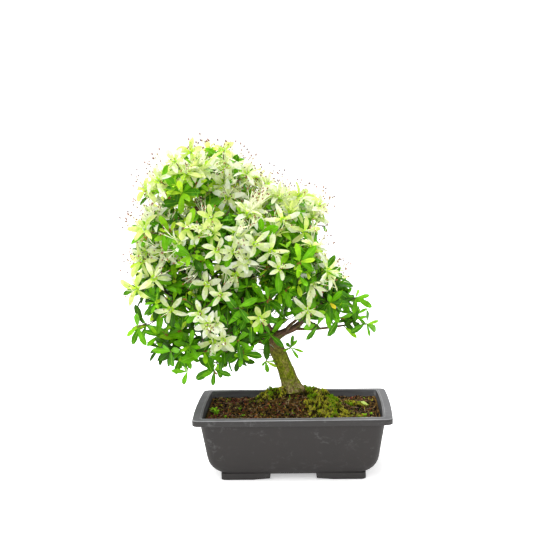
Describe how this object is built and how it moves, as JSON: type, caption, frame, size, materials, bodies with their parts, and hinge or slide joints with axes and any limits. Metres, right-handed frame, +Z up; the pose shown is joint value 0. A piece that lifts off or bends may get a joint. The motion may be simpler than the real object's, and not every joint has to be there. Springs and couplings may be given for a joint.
{
  "type": "azalea bonsai in a training pot",
  "caption": "Small flowering azalea bonsai with a leaning trunk and a full, lopsided crown, growing in a rectangular plastic pot with soil and moss.",
  "frame": {"origin": "on the ground under the middle of the whole plant's box; the pot's middle is 39 mm to the right of it", "axes": "+Z up, +X to the right along the pot's long side, +Y away from the front; the trunk leans to -X"},
  "size_m": [0.3034, 0.1916, 0.3791],
  "materials": {
    "pot_plastic": "grained, matte, dark grey with pale scuffs",
    "soil": "loose, damp, dark brown",
    "moss": "fluffy, matte",
    "bark": "furrowed bark with a green film",
    "twig_bark": "red-brown bark",
    "foliage": "glossy green leaves and off-white flowers"
  },
  "bodies": {
    "root": {"bough_back_left": "twig_bark", "bough_back_low": "twig_bark", "bough_back_mid": "twig_bark", "bough_centre_low": "twig_bark", "bough_front_low": "twig_bark", "bough_front_mid": "twig_bark", "bough_leader": "twig_bark", "bough_left_bottom": "twig_bark", "bough_left_low": "twig_bark", "bough_left_mid": "twig_bark", "bough_left_up": "twig_bark", "bough_right_back": "twig_bark", "bough_right_front": "twig_bark", "bough_right_low": "twig_bark", "bough_right_mid": "twig_bark", "bough_right_tip": "twig_bark", "bough_right_up": "twig_bark", "foliage_apex": "foliage", "foliage_back_low": "foliage", "foliage_back_mid": "foliage", "foliage_centre_low": "foliage", "foliage_front_low": "foliage", "foliage_front_mid": "foliage", "foliage_left_back": "foliage", "foliage_left_bottom": "foliage", "foliage_left_low": "foliage", "foliage_left_mid": "foliage", "foliage_right_back": "foliage", "foliage_right_front": "foliage", "foliage_right_low": "foliage", "foliage_right_mid": "foliage", "foliage_right_tip": "foliage", "foliage_shoulder": "foliage", "foliage_top_left": "foliage", "moss_left": "moss", "moss_patch": "moss", "moss_right": "moss", "pot": "pot_plastic", "shoot_left": "foliage", "shoot_right": "foliage", "shoot_spray": "foliage", "soil": "soil", "trunk": "bark"}
  },
  "joints": []
}
